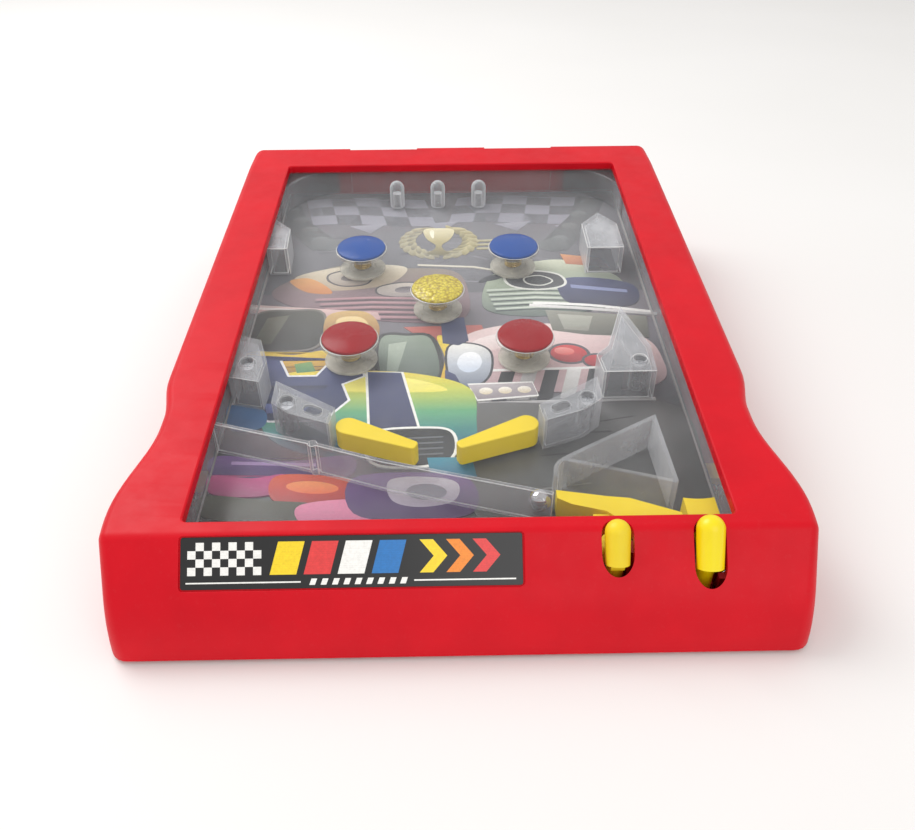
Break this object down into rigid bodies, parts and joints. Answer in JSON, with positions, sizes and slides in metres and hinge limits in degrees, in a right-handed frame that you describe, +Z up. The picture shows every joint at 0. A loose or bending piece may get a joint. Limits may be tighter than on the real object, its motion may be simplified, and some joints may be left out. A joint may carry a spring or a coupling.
{
  "type": "table-top pinball game",
  "caption": "Table-top pinball toy: sloping moulded case, clear window and tray, bumpers, side-button flippers, ball feed and spring plunger.",
  "frame": {"origin": "middle of the case's footprint, on the table under the feet", "axes": "+X to the player's right, +Y to the rear and up the slope, +Z up"},
  "size_m": [0.2594, 0.3559, 0.0706],
  "materials": {
    "case_red": "semi-gloss moulded ABS, fine satin texture",
    "base_red": "matt moulded ABS",
    "clear_window": "clear polystyrene sheet, gloss",
    "clear_tray": "clear moulded polystyrene, slightly cloudy",
    "clear_bumper": "clear moulded polystyrene, slightly cloudy",
    "printed_card": "printed card with a racing scene of plain shapes",
    "label": "printed vinyl label without lettering",
    "control_yellow": "moulded ABS, semi-gloss",
    "lever_yellow": "moulded ABS, gloss",
    "nylon_white": "moulded nylon",
    "cap_blue": "gloss polystyrene",
    "cap_red": "gloss polystyrene",
    "cap_yellow": "translucent pebbled lens",
    "steel": "polished steel",
    "spring_steel": "bright spring wire",
    "brass_wire": "brassed spring wire",
    "rubber": "matt rubber"
  },
  "bodies": {
    "root": {"upper_shell": "case_red", "base_plate": "base_red", "window_pane": "clear_window", "playfield_tray": "clear_tray", "artwork_card": "printed_card", "label_plate": "label", "lane_pegs": "clear_tray", "sling_block_left": "clear_tray", "sling_block_right": "clear_tray", "deflector_rear_left": "clear_tray", "deflector_rear_right": "clear_tray", "deflector_mid_left": "clear_tray", "deflector_mid_right": "clear_tray", "lower_guide_rail": "clear_tray", "shooter_lane_guide": "clear_tray", "bumper_post_blue_left": "clear_bumper", "bumper_post_blue_right": "clear_bumper", "bumper_post_yellow": "clear_bumper", "bumper_post_red_left": "clear_bumper", "bumper_post_red_right": "clear_bumper", "bumper_cap_blue_left": "cap_blue", "bumper_cap_blue_right": "cap_blue", "bumper_cap_yellow": "cap_yellow", "bumper_cap_red_left": "cap_red", "bumper_cap_red_right": "cap_red", "bumper_spring_blue_left": "brass_wire", "bumper_spring_blue_right": "brass_wire", "bumper_spring_yellow": "brass_wire", "bumper_spring_red_left": "brass_wire", "bumper_spring_red_right": "brass_wire", "button_spring_left": "spring_steel", "button_spring_right": "spring_steel", "plunger_spring": "spring_steel", "feed_pin": "steel", "feed_spring": "spring_steel", "rubber_feet": "rubber", "case_screws": "steel", "tower_screws": "steel"},
    "flipper_left": {"flipper_left": "control_yellow", "flipper_crank_left": "nylon_white", "crank_screw_left": "steel"},
    "flipper_right": {"flipper_right": "control_yellow", "flipper_crank_right": "nylon_white", "crank_screw_right": "steel"},
    "button_left": {"button_left": "control_yellow"},
    "button_right": {"button_right": "control_yellow"},
    "plunger": {"plunger_carriage": "control_yellow", "plunger_knob": "lever_yellow"},
    "feed": {"feed_lever": "lever_yellow"},
    "ball": {"steel_ball": "steel"}
  },
  "joints": [
    {"name": "button_left_press", "type": "slide", "parent": "root", "child": "button_left", "axis": [1, 0, 0], "range_m": [0, 0.0076], "stiffness_N_per_m": 150, "springref_m": -0.004, "deforming": ["button_spring_left"]},
    {"name": "button_right_press", "type": "slide", "parent": "root", "child": "button_right", "axis": [-1, 0, 0], "range_m": [0, 0.0076], "stiffness_N_per_m": 150, "springref_m": -0.004, "deforming": ["button_spring_right"]},
    {"name": "flipper_left_swing", "type": "hinge", "parent": "root", "child": "flipper_left", "pos_m": [-0.0464, -0.08204, 0.02526], "axis": [0, -0.0872, 0.9962], "range_deg": [0, 45]},
    {"name": "flipper_right_swing", "type": "hinge", "parent": "root", "child": "flipper_right", "pos_m": [0.0296, -0.08204, 0.02526], "axis": [0, 0.0872, -0.9962], "range_deg": [0, 45]},
    {"name": "plunger_pull", "type": "slide", "parent": "root", "child": "plunger", "axis": [0, -0.9962, -0.0872], "range_m": [0, 0.0065], "stiffness_N_per_m": 300, "springref_m": -0.006, "deforming": ["plunger_spring"]},
    {"name": "feed_lever_rock", "type": "hinge", "parent": "root", "child": "feed", "pos_m": [0.056, -0.15174, 0.02569], "axis": [1, 0, 0], "range_deg": [0, 9], "stiffness_Nm_per_rad": 0.08, "springref_deg": -8.59, "deforming": ["feed_spring"]},
    {"name": "ball_roll", "type": "slide", "parent": "root", "child": "ball", "axis": [-0.959, 0.2823, 0.0247], "range_m": [0, 0.058]}
  ],
  "couplings": [
    {"joint": "flipper_left_swing", "follows": "button_left_press", "rad_per_m": 102.62},
    {"joint": "flipper_right_swing", "follows": "button_right_press", "rad_per_m": 102.62}
  ]
}
